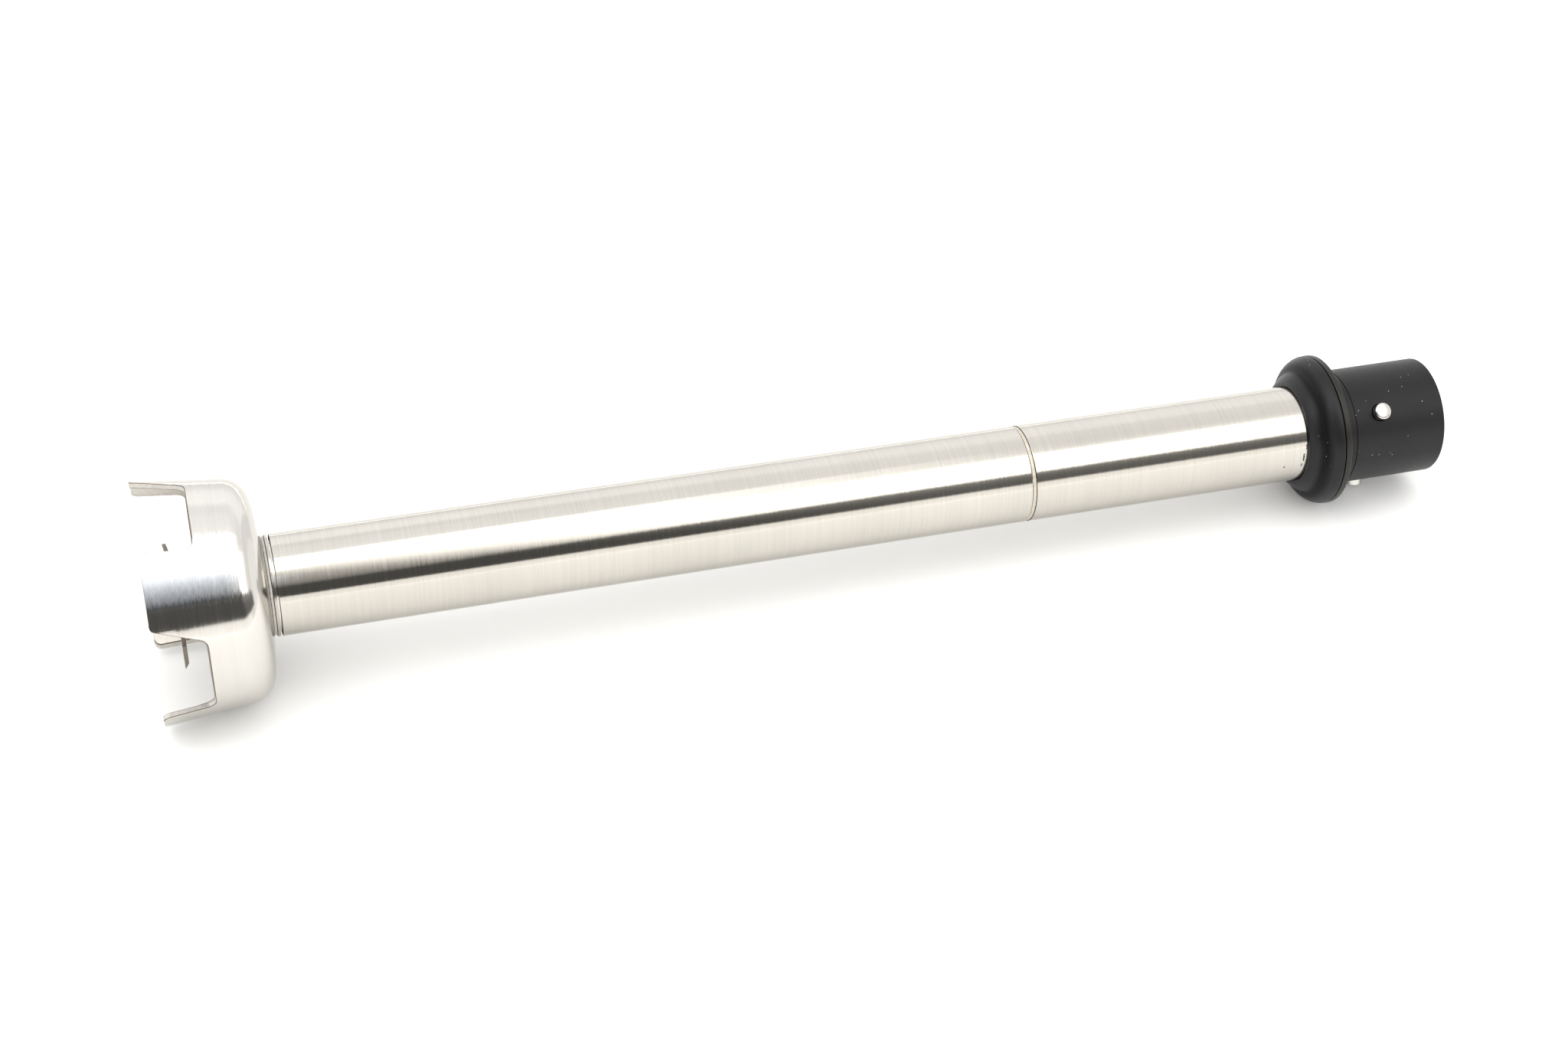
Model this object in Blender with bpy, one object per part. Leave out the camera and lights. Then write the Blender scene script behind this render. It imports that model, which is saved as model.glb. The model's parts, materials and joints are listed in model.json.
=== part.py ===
"""Blending foot of a commercial immersion blender, lying on its side.

The foot is a set of turned pieces on one axis: a castellated bell with a blade
inside, a long steel tube with the drive shaft in it, and a coupling sleeve with
three bayonet pins that locks into a motor unit.  Lengths are in millimetres
here and become metres when a mesh is made.  A point is given by its station
along the axis (0 at the bell end of the tube, positive towards the coupling),
its radius, and its angle round the axis (0 towards -Y, 90 degrees upwards).
The bell is wider than the flange, so the axis dips a little towards +X.
"""

import math

import bpy
import bmesh
from mathutils import Vector

MM = 0.001
GAP = 0.3                      # clearance between neighbouring solids

# bell
MOUTH_S = -39.0                # station of the leg tips
WINDOW_S = -23.0               # station where the windows end
SKIRT_END_S = -11.6            # the skirt meets the shoulder here
SKIRT_REF_R = 34.9             # skirt radius at station -10
SKIRT_SLOPE = 0.1095           # radius gained per millimetre towards the mouth
WALL = 1.9                     # sheet thickness of the bell
SHOULDER_R = 8.8               # rounding between skirt and back
BACK_ANGLE = math.radians(6.5)
SEAT_S = -2.6                  # back face of the bell against the lock ring
SEAT_R = 16.6
SPIGOT_R = 14.2                # spigot that plugs into the tube
SPIGOT_END_S = 16.0
O_RING_S = 13.0
O_RING_GROOVE_R = 13.05
O_RING_GROOVE_HALF = 1.1
BEARING_BORE_R = 11.15
BUSH_BORE_R = 8.0
BUSH_BORE_S = -13.4            # end of the bush bore, at the web in front of it
WEB_BORE_R = 6.0
SEAL_SEAT_S = -14.4
SEAL_SEAT_R = 8.2
BOSS_R = 10.5
BOSS_FRONT_S = -19.0
LEG_ROLL = math.radians(39.7)  # middle of the front leg
LEGS = 4

# tubes
TUBE_R = 16.0
TUBE_WALL = 1.5
JOINT_S = 244.4                # fine ring where the two tubes meet
JOINT_WIDTH = 1.3
JOINT_R = 15.85
UPPER_TUBE_END_S = 361.5

# boot, flange and coupling
BOOT_S = 341.8
BOOT_BACK_S = 350.95
# outer face of the boot: (station, radius) from the lip on the tube over the soft roll
# and the valley behind it to the crest
BOOT_OUTER = ((341.8, 17.1), (342.1, 17.75), (342.8, 18.6), (343.6, 19.35), (344.3, 19.85),
              (345.35, 20.42), (345.87, 21.4), (346.6, 22.95), (347.3, 23.75), (348.2, 24.45),
              (349.2, 24.95), (350.2, 25.3))
FLANGE_R = 25.4
DISC_S = 351.2
DISC_END_S = 353.3
RECESS_R = 20.3                # shallow recess in the back of the disc round the sleeve
RECESS = 0.2
SLEEVE_S = 353.6
SLEEVE_END_S = 390.7
SLEEVE_R = 19.33
SOCKET_R = 16.4
SLEEVE_LINE_S = 358.2          # fine turned line round the sleeve
CORE_S = 362.0
CORE_END_S = 375.0
CORE_BORE_R = 4.6
PIN_S = 367.3
PIN_R = 2.8
PIN_TOP_R = 22.3
PIN_FOOT_R = 13.2
PINS = 3
PIN_ROLL = math.radians(45.6)

# drive line
SHAFT_R = 4.0
THREAD_R = 2.6
SHAFT_TIP_S = -35.4
SHAFT_SHOULDER_S = -28.0
SHAFT_END_S = 380.6
BLADE_S = -30.35               # mouth-side face of the blade
BLADE_THICK = 1.25
BLADE_BEND_R = 9.0             # the bent wing leaves the flat here
BLADE_BEND_SLOPE = 0.12
# blade sections: distance along the wing, leading and trailing half width, width of the grind
BLADE_SECTIONS = ((29.0, 5.5, 3.0, 2.1), (24.0, 6.2, 4.6, 2.1), (13.0, 6.0, 6.0, 2.1),
                  (9.0, 6.5, 6.5, 0.0), (0.0, 7.5, 7.5, 0.0), (-9.0, 6.5, 6.5, 0.0),
                  (-14.0, 5.6, 5.6, 0.0), (-17.5, 2.8, 5.5, 0.0), (-20.0, -0.8, 5.4, 0.0),
                  (-22.2, -4.0, 5.2, 0.0), (-24.0, -4.7, 5.1, 0.0))
BLADE_ROLL = math.radians(3.8)  # direction of the flat wing
BEARING_WIDTH = 7.0
BEARING_OUTER_R = 10.95
BEARING_PITCH_R = 7.55
CAGE_R = (6.95, 8.15)
CAGE_HALF = 0.8
CIRCLIP_GROOVE_R = 12.1
BUSH_STATIONS = (82.0, 164.0, 302.0)
BALL_R = 1.85
BALLS = 6
LOWER_BEARING_S = 2.4
UPPER_BEARING_S = 364.8
COUPLER_S = 376.5
COUPLER_END_S = 387.5
COUPLER_R = 7.5
CROSS_PIN_S = 378.8
CROSS_PIN_R = 1.2

# attitude: the widest full ring of the bell and the flange both touch the floor
RING_R = SKIRT_REF_R + SKIRT_SLOPE * (-10.0 - WINDOW_S)
FLANGE_REST_S = 353.0
TILT = math.atan((RING_R - FLANGE_R) / (FLANGE_REST_S - WINDOW_S))
AXIS_HEIGHT = RING_R * math.cos(TILT) + WINDOW_S * math.sin(TILT)
MIDDLE_S = 175.56              # station above the origin

SIDES_LARGE = 48
SIDES_MEDIUM = 32
SIDES_SMALL = 20
SIDES_HEX = 24


def clear_scene():
    for item in list(bpy.data.objects):
        bpy.data.objects.remove(item, do_unlink=True)


def make_material(name, colour, roughness, metallic):
    material = bpy.data.materials.new(name)
    material.use_nodes = True
    shader = material.node_tree.nodes["Principled BSDF"]
    shader.inputs["Base Color"].default_value = (*colour, 1.0)
    shader.inputs["Roughness"].default_value = roughness
    shader.inputs["Metallic"].default_value = metallic
    return material


def on_axis(station, radius, angle):
    """Point at a station, radius and angle, in metres in the axis frame."""
    return Vector((station, -radius * math.cos(angle), radius * math.sin(angle))) * MM


def radial(angle):
    return Vector((0.0, -math.cos(angle), math.sin(angle)))


def tangent(angle):
    return Vector((0.0, math.sin(angle), math.cos(angle)))


def skirt_radius(station):
    return SKIRT_REF_R + SKIRT_SLOPE * (-10.0 - station)


def arc(centre, radius, start, end, steps):
    """Points of an arc in the station-radius plane, angles in radians."""
    points = []
    for i in range(steps + 1):
        turn = start + (end - start) * i / steps
        points.append((centre[0] + radius * math.cos(turn), centre[1] + radius * math.sin(turn)))
    return points


def finish_mesh(name, shape, material, parent, sharp_angle=35.0):
    """Make the object of a bmesh, smooth shaded with sharp edges kept."""
    bmesh.ops.recalc_face_normals(shape, faces=shape.faces)
    mesh = bpy.data.meshes.new(name)
    shape.to_mesh(mesh)
    shape.free()
    mesh.materials.append(material)
    mesh.shade_smooth()
    mesh.set_sharp_from_angle(angle=math.radians(sharp_angle))
    item = bpy.data.objects.new(name, mesh)
    bpy.context.scene.collection.objects.link(item)
    item.parent = parent
    return item


def within_hexagon(radius, angle, across_flats):
    """Radius held inside a hexagon, so that a turned blank gets six flats."""
    from_flat = (angle + math.pi / 6.0) % (math.pi / 3.0) - math.pi / 6.0
    return min(radius, across_flats / 2.0 / math.cos(from_flat))


def turned(name, profile, material, parent, sides=SIDES_SMALL, across_flats=100.0):
    """Turn a profile of (station, radius) points round the axis.

    A profile whose ends lie on the axis makes a solid bar; any other profile is
    a closed outline and makes a ring.
    """
    shape = bmesh.new()
    on_bar = profile[0][1] == 0.0
    rings = []
    for station, radius in profile:
        if radius == 0.0:
            rings.append([shape.verts.new(on_axis(station, 0.0, 0.0))] * sides)
        else:
            ring = []
            for i in range(sides):
                angle = 2.0 * math.pi * i / sides
                held = within_hexagon(radius, angle, across_flats)
                ring.append(shape.verts.new(on_axis(station, held, angle)))
            rings.append(ring)
    pairs = list(zip(rings, rings[1:]))
    if not on_bar:
        pairs.append((rings[-1], rings[0]))
    for near, far in pairs:
        for i in range(sides):
            j = (i + 1) % sides
            corners = []
            for vertex in (near[i], near[j], far[j], far[i]):
                if vertex not in corners:
                    corners.append(vertex)
            shape.faces.new(corners)
    return finish_mesh(name, shape, material, parent)


def open_ring(name, stations, radii, angles, material, parent, steps=18):
    """A flat ring with a gap, such as a circlip."""
    shape = bmesh.new()
    sections = []
    for i in range(steps + 1):
        angle = angles[0] + (angles[1] - angles[0]) * i / steps
        corners = [(stations[0], radii[0]), (stations[1], radii[0])]
        corners += [(stations[1], radii[1]), (stations[0], radii[1])]
        sections.append([shape.verts.new(on_axis(s, r, angle)) for s, r in corners])
    for near, far in zip(sections, sections[1:]):
        for k in range(4):
            m = (k + 1) % 4
            shape.faces.new((near[k], near[m], far[m], far[k]))
    shape.faces.new(sections[0])
    shape.faces.new(reversed(sections[-1]))
    return finish_mesh(name, shape, material, parent)


def torus_profile(station, radius, thickness, steps=5):
    """Round cord section of an O-ring or a garter spring."""
    return arc((station, radius), thickness, 0.0, 2.0 * math.pi * (1 - 1 / steps), steps - 1)


def prism(name, outline, origin, along, across, depth_axis, depths, material, parent):
    """Extrude an outline of (along, across) points between two depths."""
    shape = bmesh.new()
    layers = []
    for depth in depths:
        base = Vector(origin) + Vector(depth_axis) * depth
        layer = [base + Vector(along) * u + Vector(across) * v for u, v in outline]
        layers.append([shape.verts.new(point * MM) for point in layer])
    count = len(outline)
    for i in range(count):
        j = (i + 1) % count
        shape.faces.new((layers[0][i], layers[0][j], layers[1][j], layers[1][i]))
    shape.faces.new(reversed(layers[0]))
    shape.faces.new(layers[1])
    return finish_mesh(name, shape, material, parent)


def circle_outline(radius, sides=24):
    angles = [2.0 * math.pi * i / sides for i in range(sides)]
    return [(radius * math.cos(a), radius * math.sin(a)) for a in angles]


def radial_bar(name, station, angle, radius, depths, material, parent, sides=18):
    """Round bar that stands out from the axis, such as a bayonet pin."""
    outline = circle_outline(radius, sides)
    return prism(name, outline, (station, 0.0, 0.0), (1.0, 0.0, 0.0), tangent(angle),
                 radial(angle), depths, material, parent)


def cut(target, cutter, operation="DIFFERENCE"):
    cutter.hide_render = True
    cutter.display_type = "WIRE"
    step = target.modifiers.new("cut_" + cutter.name, "BOOLEAN")
    step.operation = operation
    step.object = cutter


def fillet(corner, before, after, radius, steps=4):
    """Round a corner of an outline that runs from before to after."""
    corner = Vector(corner)
    to_before = (Vector(before) - corner).normalized()
    to_after = (Vector(after) - corner).normalized()
    half = to_before.angle(to_after) / 2.0
    reach = radius / math.tan(half)
    centre = corner + (to_before + to_after).normalized() * radius / math.sin(half)
    start = corner + to_before * reach - centre
    end = corner + to_after * reach - centre
    turn = start.angle(end)
    points = []
    for i in range(steps + 1):
        share = i / steps
        blend = (start * math.sin((1 - share) * turn) + end * math.sin(share * turn)) / math.sin(turn)
        point = centre + blend
        points.append((point.x, point.y))
    return points


# ---------------------------------------------------------------- bell


def circlip_groove(bearing_start):
    """Outline of the groove behind a bearing, away from the bearing."""
    near = bearing_start + BEARING_WIDTH + 0.3
    far = near + 1.3
    return [(near, BEARING_BORE_R), (near, CIRCLIP_GROOVE_R), (far, CIRCLIP_GROOVE_R), (far, BEARING_BORE_R)]


def bell_profile():
    """Closed outline of the bell: skirt, shoulder, back, spigot, bores and boss."""
    flare = math.atan(SKIRT_SLOPE)
    skirt_end = (SKIRT_END_S, skirt_radius(SKIRT_END_S))
    centre = (skirt_end[0] - SHOULDER_R * math.sin(flare), skirt_end[1] - SHOULDER_R * math.cos(flare))
    start = math.pi / 2.0 - flare
    outer = arc(centre, SHOULDER_R, start, BACK_ANGLE, 5)
    inner = arc(centre, SHOULDER_R - WALL, BACK_ANGLE, start, 4)
    inner_back = inner[0][0] + (inner[0][1] - BOSS_R) * math.tan(BACK_ANGLE)
    mouth_r = skirt_radius(MOUTH_S)
    profile = [(MOUTH_S, mouth_r - WALL * 1.006), (MOUTH_S, mouth_r)]
    profile += outer
    profile += [(SEAT_S, SEAT_R), (SEAT_S, SPIGOT_R)]
    groove = (O_RING_S - O_RING_GROOVE_HALF, O_RING_S + O_RING_GROOVE_HALF)
    profile += [(groove[0], SPIGOT_R), (groove[0], O_RING_GROOVE_R)]
    profile += [(groove[1], O_RING_GROOVE_R), (groove[1], SPIGOT_R)]
    profile += [(SPIGOT_END_S, SPIGOT_R), (SPIGOT_END_S, BEARING_BORE_R)]
    profile += circlip_groove(LOWER_BEARING_S)[::-1]
    floor = LOWER_BEARING_S - 0.4
    profile += [(floor, BEARING_BORE_R), (floor, BUSH_BORE_R)]
    profile += [(BUSH_BORE_S, BUSH_BORE_R), (BUSH_BORE_S, WEB_BORE_R)]
    profile += [(SEAL_SEAT_S, WEB_BORE_R), (SEAL_SEAT_S, SEAL_SEAT_R)]
    profile += [(BOSS_FRONT_S, SEAL_SEAT_R), (BOSS_FRONT_S, BOSS_R)]
    profile += [(inner_back - 1.5, BOSS_R), (inner_back, BOSS_R + 1.5)]
    profile += inner
    return profile


def window_outline():
    """Window between two legs: one straight side, one side that leans outwards."""
    lean_t = 13.6
    lean_mouth_t = 19.8
    straight_t = skirt_radius(WINDOW_S) * math.sin(math.radians(22.7))
    straight_mouth_t = skirt_radius(MOUTH_S) * math.sin(math.radians(22.7))
    beyond_s = MOUTH_S - 8.0
    tip_round = 2.4
    base_straight = (WINDOW_S, -straight_t)
    base_lean = (WINDOW_S, lean_t)
    tip_straight = (MOUTH_S, -straight_mouth_t)
    tip_lean = (MOUTH_S, lean_mouth_t)
    wide_straight = (MOUTH_S, -straight_mouth_t - 6.0)
    wide_lean = (MOUTH_S, lean_mouth_t + 4.0)
    outline = [(beyond_s, wide_straight[1]), wide_straight]
    outline += fillet(tip_straight, wide_straight, base_straight, tip_round)
    outline += fillet(base_straight, tip_straight, base_lean, 3.0)
    outline += fillet(base_lean, base_straight, tip_lean, 3.0)
    outline += fillet(tip_lean, base_lean, wide_lean, 1.6)
    outline += [wide_lean, (beyond_s, wide_lean[1])]
    return outline


def make_bell(parent, steel):
    bell = turned("bell_guard", bell_profile(), steel, parent, SIDES_LARGE)
    for i in range(LEGS):
        middle = LEG_ROLL + math.pi / 4.0 + i * 2.0 * math.pi / LEGS
        cutter = prism(f"window_cutter_{i + 1}", window_outline(), (0.0, 0.0, 0.0),
                       (1.0, 0.0, 0.0), tangent(middle), radial(middle), (24.0, 48.0), steel, parent)
        cut(bell, cutter)


def make_lock_ring(parent, steel):
    profile = [(-2.3, 14.5), (-2.3, 15.5), (-1.85, 15.5), (-1.7, 15.95), (-0.8, 15.95)]
    profile += [(-0.4, 15.6), (-0.4, 14.5)]
    turned("bell_lock_ring", profile, steel, parent, SIDES_LARGE)


# ---------------------------------------------------------------- tubes


def tube_profile(start, end):
    inner = TUBE_R - TUBE_WALL
    chamfer = 0.25
    profile = [(start, inner), (start, TUBE_R - chamfer), (start + chamfer, TUBE_R)]
    profile += [(end - chamfer, TUBE_R), (end, TUBE_R - chamfer), (end, inner)]
    return profile


def make_tubes(parent, steel):
    half = JOINT_WIDTH / 2.0
    slit = 0.2
    turned("lower_tube", tube_profile(0.0, JOINT_S - half - slit), steel, parent, SIDES_LARGE)
    turned("upper_tube", tube_profile(JOINT_S + half + slit, UPPER_TUBE_END_S), steel, parent, SIDES_LARGE)
    spigot = TUBE_R - TUBE_WALL - GAP
    profile = [(JOINT_S - 10.0, 12.0), (JOINT_S - 10.0, spigot), (JOINT_S - half, spigot)]
    profile += [(JOINT_S - half, JOINT_R), (JOINT_S + half, JOINT_R), (JOINT_S + half, spigot)]
    profile += [(JOINT_S + 10.0, spigot), (JOINT_S + 10.0, 12.0)]
    turned("tube_joint_ring", profile, steel, parent, SIDES_MEDIUM)


# ---------------------------------------------------------------- boot and coupling


def make_boot(parent, rubber):
    """Rubber boot: a soft inner roll, a shallow valley and the flange lip."""
    bore = TUBE_R + 0.2
    profile = [(BOOT_BACK_S, bore), (BOOT_S, bore), *BOOT_OUTER, (BOOT_BACK_S, FLANGE_R)]
    turned("rubber_boot", profile, rubber, parent, SIDES_LARGE)


def make_coupling(parent, plastic, disc_plastic, steel, polished):
    bore = TUBE_R + 0.25
    profile = [(DISC_S, bore), (DISC_S, FLANGE_R - 0.2), (DISC_S + 0.2, FLANGE_R)]
    profile += [(DISC_END_S - 0.3, FLANGE_R), (DISC_END_S, FLANGE_R - 0.3)]
    profile += [(DISC_END_S, RECESS_R), (DISC_END_S - RECESS, RECESS_R), (DISC_END_S - RECESS, bore)]
    turned("flange_disc", profile, disc_plastic, parent, SIDES_LARGE)

    line = SLEEVE_LINE_S
    profile = [(SLEEVE_S, SOCKET_R), (SLEEVE_S, SLEEVE_R), (line - 0.2, SLEEVE_R), (line, SLEEVE_R - 0.2)]
    profile += [(line + 0.2, SLEEVE_R), (SLEEVE_END_S - 0.6, SLEEVE_R), (SLEEVE_END_S, SLEEVE_R - 0.6)]
    profile += [(SLEEVE_END_S, SOCKET_R + 0.4), (SLEEVE_END_S - 0.4, SOCKET_R)]
    sleeve = turned("coupling_sleeve", profile, plastic, parent, SIDES_LARGE)

    outer = SOCKET_R - 0.25
    floor = UPPER_BEARING_S - 0.4
    profile = [(CORE_S, CORE_BORE_R), (CORE_S, outer), (CORE_END_S, outer), (CORE_END_S, BEARING_BORE_R)]
    profile += circlip_groove(UPPER_BEARING_S)[::-1]
    profile += [(floor, BEARING_BORE_R), (floor, CORE_BORE_R)]
    core = turned("coupling_core", profile, steel, parent, SIDES_MEDIUM)

    for i in range(PINS):
        angle = PIN_ROLL + i * 2.0 * math.pi / PINS
        pin = radial_bar(f"bayonet_pin_{i + 1}", PIN_S, angle, PIN_R, (PIN_FOOT_R, PIN_TOP_R),
                         polished, parent)
        edge = pin.modifiers.new("edge", "BEVEL")
        edge.width = 0.35 * MM
        edge.segments = 1
        edge.angle_limit = math.radians(60.0)
        hole = radial_bar(f"pin_cutter_{i + 1}", PIN_S, angle, PIN_R + 0.25, (PIN_FOOT_R - 0.3, 26.0),
                          polished, parent)
        cut(sleeve, hole)
        cut(core, hole)


# ---------------------------------------------------------------- bearings and seals


def race_groove(sign, middle, steps=3):
    """Ball track of a race, a little wider than the ball."""
    track = BALL_R + 0.2
    reach = 1.2
    points = []
    for i in range(steps + 1):
        offset = -reach + 2.0 * reach * i / steps
        points.append((middle + offset, BEARING_PITCH_R + sign * math.sqrt(track ** 2 - offset ** 2)))
    return points


def make_bearing(label, start, parent, cage_parent, rotor, steel, brass):
    end = start + BEARING_WIDTH
    middle = (start + end) / 2.0
    groove = race_groove(1.0, middle)
    profile = [(start, groove[0][1]), (start, BEARING_OUTER_R), (end, BEARING_OUTER_R), (end, groove[0][1])]
    turned(f"{label}_bearing_outer", profile + groove[::-1], steel, parent)
    groove = race_groove(-1.0, middle)
    profile = [(end, groove[0][1]), (end, SHAFT_R + 0.15), (start, SHAFT_R + 0.15), (start, groove[0][1])]
    turned(f"{label}_bearing_inner", profile + groove, steel, rotor)

    shape = bmesh.new()
    sides = 18
    near_side = middle - CAGE_HALF
    far_side = middle + CAGE_HALF
    band = [(near_side, CAGE_R[0]), (near_side, CAGE_R[1]), (far_side, CAGE_R[1]), (far_side, CAGE_R[0])]
    rings = []
    turns = [2.0 * math.pi * (i + 0.5) / sides for i in range(sides)]
    for s, r in band:
        rings.append([shape.verts.new(on_axis(s, r, turn)) for turn in turns])
    for k in range(4):
        near = rings[k]
        far = rings[(k + 1) % 4]
        for i in range(sides):
            j = (i + 1) % sides
            shape.faces.new((near[i], near[j], far[j], far[i]))
    cage = finish_mesh(f"{label}_bearing_cage", shape, brass, cage_parent)
    for i in range(BALLS):
        angle = 2.0 * math.pi * (i + 0.5) / BALLS
        ball = bmesh.new()
        bmesh.ops.create_uvsphere(ball, u_segments=6, v_segments=5, radius=BALL_R * MM)
        bmesh.ops.translate(ball, verts=ball.verts, vec=on_axis(middle, BEARING_PITCH_R, angle))
        piece = finish_mesh(f"{label}_ball_{i + 1}", ball, steel, cage_parent)
        cut(cage, piece, "UNION")
    open_ring(f"{label}_circlip", (end + 0.4, end + 1.2), (10.2, 11.9),
              (math.radians(-65.0), math.radians(245.0)), steel, parent)


def make_seals(parent, rubber, bronze, ptfe, steel):
    profile = [(-18.6, 7.2), (-18.6, 8.0), (-14.7, 8.0), (-14.7, 4.9), (-16.4, 4.3)]
    profile += [(-18.0, 4.7), (-18.0, 5.3), (-15.5, 5.3), (-15.5, 7.2)]
    turned("lip_seal", profile, rubber, parent)
    turned("garter_spring", torus_profile(-16.9, 6.0, 0.4), steel, parent)
    turned("bell_o_ring", torus_profile(O_RING_S, 13.75, 0.5), rubber, parent, SIDES_MEDIUM)
    profile = [(-13.1, 4.2), (-13.1, 7.8), (1.7, 7.8), (1.7, 4.2)]
    turned("front_bush", profile, bronze, parent)
    outer = TUBE_R - TUBE_WALL - 0.25
    for number, station in enumerate(BUSH_STATIONS, start=1):
        profile = [(station - 7.0, SHAFT_R + 0.2), (station - 7.0, 6.5), (station - 4.0, 6.5)]
        profile += [(station - 4.0, outer), (station + 4.0, outer), (station + 4.0, 6.5)]
        profile += [(station + 7.0, 6.5), (station + 7.0, SHAFT_R + 0.2)]
        turned(f"shaft_bush_{number}", profile, ptfe, parent)


# ---------------------------------------------------------------- rotor


def make_shaft(rotor, steel):
    profile = [(SHAFT_TIP_S, 0.0), (SHAFT_TIP_S, THREAD_R - 0.5), (SHAFT_TIP_S + 0.5, THREAD_R)]
    profile += [(SHAFT_SHOULDER_S, THREAD_R), (SHAFT_SHOULDER_S, SHAFT_R), (SHAFT_END_S - 0.6, SHAFT_R)]
    profile += [(SHAFT_END_S, SHAFT_R - 0.6), (SHAFT_END_S, 0.0)]
    return turned("drive_shaft", profile, steel, rotor)


def blade_section(along, lead, trail, grind, bend):
    """Corners of one cross-section of the blade: along the wing, across, station."""
    front = BLADE_S - bend
    back = front + BLADE_THICK
    return [(along, -trail, front), (along, lead, front), (along, lead - grind, back), (along, -trail, back)]


def make_blade(rotor, steel):
    """Two-winged blade: one flat sharpened wing, one hooked wing bent to the mouth."""
    sections = []
    for along, lead, trail, grind in BLADE_SECTIONS:
        bend = max(0.0, -along - BLADE_BEND_R) * BLADE_BEND_SLOPE
        sections.append(blade_section(along, lead, trail, grind, bend))
    shape = bmesh.new()
    out = radial(BLADE_ROLL)
    side = -tangent(BLADE_ROLL)
    loops = []
    for section in sections:
        loop = []
        for along, across, station in section:
            loop.append(shape.verts.new((Vector((station, 0, 0)) + out * along + side * across) * MM))
        loops.append(loop)
    for near, far in zip(loops, loops[1:]):
        for k in range(4):
            m = (k + 1) % 4
            shape.faces.new((near[k], near[m], far[m], far[k]))
    shape.faces.new(loops[0])
    shape.faces.new(reversed(loops[-1]))
    blade = finish_mesh("blade", shape, steel, rotor)
    hole = prism("blade_hole_cutter", circle_outline(THREAD_R + 0.25), (0.0, 0.0, 0.0), radial(0.0),
                 tangent(0.0), (1.0, 0.0, 0.0), (BLADE_S - 3.0, BLADE_S + 4.0), steel, rotor)
    cut(blade, hole)


def make_blade_fixings(rotor, steel):
    collar = [(-28.75, THREAD_R + 0.25), (-28.75, 7.2), (-21.6, 7.2), (-21.6, 9.4), (-20.4, 9.4)]
    collar += [(-20.4, SHAFT_R + 0.2), (-28.3, SHAFT_R + 0.2), (-28.3, THREAD_R + 0.25)]
    turned("blade_collar", collar, steel, rotor)
    washer = [(-31.25, THREAD_R + 0.25), (-31.25, 6.4), (-30.65, 6.4), (-30.65, THREAD_R + 0.25)]
    turned("blade_washer", washer, steel, rotor)

    face = -31.5
    hex_end = -34.6
    profile = [(-36.0, 0.0), (-36.0, THREAD_R + 0.2), (face, THREAD_R + 0.2), (face, 5.2), (face - 0.4, 5.9)]
    profile += [(hex_end + 0.4, 5.9), (hex_end, 5.0), (hex_end - 0.2, 4.5), (hex_end - 1.6, 4.1)]
    profile += [(hex_end - 2.7, 2.9), (hex_end - 3.2, 1.4), (hex_end - 3.3, 0.0)]
    turned("blade_nut", profile, steel, rotor, SIDES_HEX, across_flats=10.0)


def make_coupler(rotor, shaft, steel):
    """Dog coupler with four jaws, cross-pinned to the end of the shaft."""
    bore = SHAFT_R + 0.2
    profile = [(COUPLER_END_S, 0.0), (COUPLER_END_S, COUPLER_R - 0.5), (COUPLER_END_S - 0.5, COUPLER_R)]
    profile += [(COUPLER_S + 0.4, COUPLER_R), (COUPLER_S, COUPLER_R - 0.4), (COUPLER_S, bore)]
    profile += [(SHAFT_END_S + 0.4, bore), (SHAFT_END_S + 0.4, 0.0)]
    coupler = turned("drive_coupler", profile, steel, rotor)
    slot_half = 2.2
    slot_depth = 4.6
    outline = [(-slot_half, -12.0), (slot_half, -12.0), (slot_half, 12.0), (-slot_half, 12.0)]
    for i in range(2):
        angle = BLADE_ROLL + i * math.pi / 2.0
        slot = prism(f"jaw_cutter_{i + 1}", outline, (0.0, 0.0, 0.0), radial(angle), tangent(angle),
                     (1.0, 0.0, 0.0), (COUPLER_END_S - slot_depth, COUPLER_END_S + 3.0), steel, rotor)
        cut(coupler, slot)
    angle = BLADE_ROLL + math.pi / 4.0
    radial_bar("coupler_pin", CROSS_PIN_S, angle, CROSS_PIN_R, (-7.1, 7.1), steel, rotor, 16)
    hole = radial_bar("cross_hole_cutter", CROSS_PIN_S, angle, CROSS_PIN_R + 0.2, (-12.0, 12.0),
                      steel, rotor, 16)
    cut(coupler, hole)
    cut(shaft, hole)


def make_axis_frame():
    """Empties on the axis of the foot: the fixed frame, the rotor and two cages."""
    axis = bpy.data.objects.new("foot_axis", None)
    axis.rotation_euler = (0.0, TILT, 0.0)
    axis.location = (-MIDDLE_S * MM, 0.0, AXIS_HEIGHT * MM)
    bpy.context.scene.collection.objects.link(axis)
    spinners = []
    for name in ("rotor_axis", "lower_cage_axis", "upper_cage_axis"):
        spinner = bpy.data.objects.new(name, None)
        spinner.parent = axis
        bpy.context.scene.collection.objects.link(spinner)
        spinners.append(spinner)
    return axis, spinners


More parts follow.
